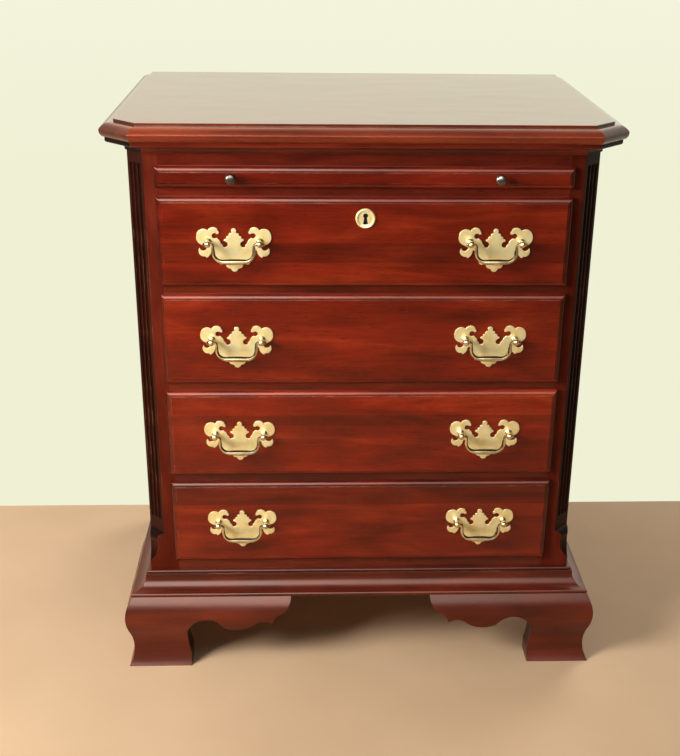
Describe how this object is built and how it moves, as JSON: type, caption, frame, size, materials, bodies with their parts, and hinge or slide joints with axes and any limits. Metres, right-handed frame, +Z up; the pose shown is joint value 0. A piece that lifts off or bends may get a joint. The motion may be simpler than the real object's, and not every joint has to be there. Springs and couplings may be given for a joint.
{
  "type": "nightstand",
  "caption": "Chest-shaped wooden nightstand with lipped drawers on batwing bail pulls, a pull-out slide under a moulded top, fluted canted corners and ogee bracket feet.",
  "frame": {"origin": "on the floor, under the middle of the overall box", "axes": "+X to the right when facing the drawers, +Y from the drawers towards the back, +Z up"},
  "size_m": [0.646, 0.447, 0.745],
  "materials": {
    "stained_wood": "red-brown stain under a semi-gloss lacquer",
    "inner_wood": "plain sanded softwood",
    "brass": "polished",
    "dark_brass": "antique",
    "lock_metal": "plain"
  },
  "bodies": {
    "case": {"top_panel": "stained_wood", "cornice_front": "stained_wood", "cornice_cants": "stained_wood", "cornice_sides": "stained_wood", "left_side_panel": "stained_wood", "right_side_panel": "stained_wood", "back_panel": "inner_wood", "left_corner_post": "stained_wood", "right_corner_post": "stained_wood", "frieze_rail": "stained_wood", "slide_rail": "stained_wood", "drawer_rails": "stained_wood", "bottom_rail": "stained_wood", "drawer_runners": "inner_wood", "drawer_guides": "inner_wood", "slide_runners": "inner_wood", "slide_guides": "inner_wood", "slide_kickers": "inner_wood", "case_bottom": "inner_wood", "base_moulding_front": "stained_wood", "base_moulding_sides": "stained_wood", "front_foot_faces": "stained_wood", "front_foot_returns": "stained_wood", "rear_feet": "stained_wood", "rear_foot_braces": "inner_wood", "foot_glue_blocks": "inner_wood"},
    "slide": {"slide_front": "stained_wood", "slide_panel": "stained_wood", "slide_knobs": "dark_brass"},
    "drawer_1": {"drawer_1_front": "stained_wood", "drawer_1_box": "inner_wood", "drawer_1_bottom": "inner_wood", "drawer_1_backplates": "brass", "drawer_1_pull_posts": "brass", "escutcheon": "brass", "lock_case": "lock_metal"},
    "drawer_1_left_bail": {"drawer_1_left_bail": "brass"},
    "drawer_1_right_bail": {"drawer_1_right_bail": "brass"},
    "drawer_2": {"drawer_2_front": "stained_wood", "drawer_2_box": "inner_wood", "drawer_2_bottom": "inner_wood", "drawer_2_backplates": "brass", "drawer_2_pull_posts": "brass"},
    "drawer_2_left_bail": {"drawer_2_left_bail": "brass"},
    "drawer_2_right_bail": {"drawer_2_right_bail": "brass"},
    "drawer_3": {"drawer_3_front": "stained_wood", "drawer_3_box": "inner_wood", "drawer_3_bottom": "inner_wood", "drawer_3_backplates": "brass", "drawer_3_pull_posts": "brass"},
    "drawer_3_left_bail": {"drawer_3_left_bail": "brass"},
    "drawer_3_right_bail": {"drawer_3_right_bail": "brass"},
    "drawer_4": {"drawer_4_front": "stained_wood", "drawer_4_box": "inner_wood", "drawer_4_bottom": "inner_wood", "drawer_4_backplates": "brass", "drawer_4_pull_posts": "brass"},
    "drawer_4_left_bail": {"drawer_4_left_bail": "brass"},
    "drawer_4_right_bail": {"drawer_4_right_bail": "brass"},
    "lock_bolt": {"lock_bolt": "lock_metal"}
  },
  "joints": [
    {"name": "slide_pull", "type": "slide", "parent": "case", "child": "slide", "axis": [0, -1, 0], "range_m": [0, 0.265]},
    {"name": "drawer_1_pull", "type": "slide", "parent": "case", "child": "drawer_1", "axis": [0, -1, 0], "range_m": [0, 0.28]},
    {"name": "drawer_1_left_bail_swing", "type": "hinge", "parent": "drawer_1", "child": "drawer_1_left_bail", "pos_m": [-0.1605, -0.2104, 0.602], "axis": [-1, 0, 0], "range_deg": [0, 100]},
    {"name": "drawer_1_right_bail_swing", "type": "hinge", "parent": "drawer_1", "child": "drawer_1_right_bail", "pos_m": [0.1605, -0.2104, 0.602], "axis": [-1, 0, 0], "range_deg": [0, 100]},
    {"name": "drawer_2_pull", "type": "slide", "parent": "case", "child": "drawer_2", "axis": [0, -1, 0], "range_m": [0, 0.28]},
    {"name": "drawer_2_left_bail_swing", "type": "hinge", "parent": "drawer_2", "child": "drawer_2_left_bail", "pos_m": [-0.1605, -0.2104, 0.47525], "axis": [-1, 0, 0], "range_deg": [0, 100]},
    {"name": "drawer_2_right_bail_swing", "type": "hinge", "parent": "drawer_2", "child": "drawer_2_right_bail", "pos_m": [0.1605, -0.2104, 0.47525], "axis": [-1, 0, 0], "range_deg": [0, 100]},
    {"name": "drawer_3_pull", "type": "slide", "parent": "case", "child": "drawer_3", "axis": [0, -1, 0], "range_m": [0, 0.28]},
    {"name": "drawer_3_left_bail_swing", "type": "hinge", "parent": "drawer_3", "child": "drawer_3_left_bail", "pos_m": [-0.1605, -0.2104, 0.34475], "axis": [-1, 0, 0], "range_deg": [0, 100]},
    {"name": "drawer_3_right_bail_swing", "type": "hinge", "parent": "drawer_3", "child": "drawer_3_right_bail", "pos_m": [0.1605, -0.2104, 0.34475], "axis": [-1, 0, 0], "range_deg": [0, 100]},
    {"name": "drawer_4_pull", "type": "slide", "parent": "case", "child": "drawer_4", "axis": [0, -1, 0], "range_m": [0, 0.28]},
    {"name": "drawer_4_left_bail_swing", "type": "hinge", "parent": "drawer_4", "child": "drawer_4_left_bail", "pos_m": [-0.1605, -0.2104, 0.21425], "axis": [-1, 0, 0], "range_deg": [0, 100]},
    {"name": "drawer_4_right_bail_swing", "type": "hinge", "parent": "drawer_4", "child": "drawer_4_right_bail", "pos_m": [0.1605, -0.2104, 0.21425], "axis": [-1, 0, 0], "range_deg": [0, 100]},
    {"name": "lock_bolt_throw", "type": "slide", "parent": "drawer_1", "child": "lock_bolt", "axis": [0, 0, 1], "range_m": [0, 0.007]}
  ]
}
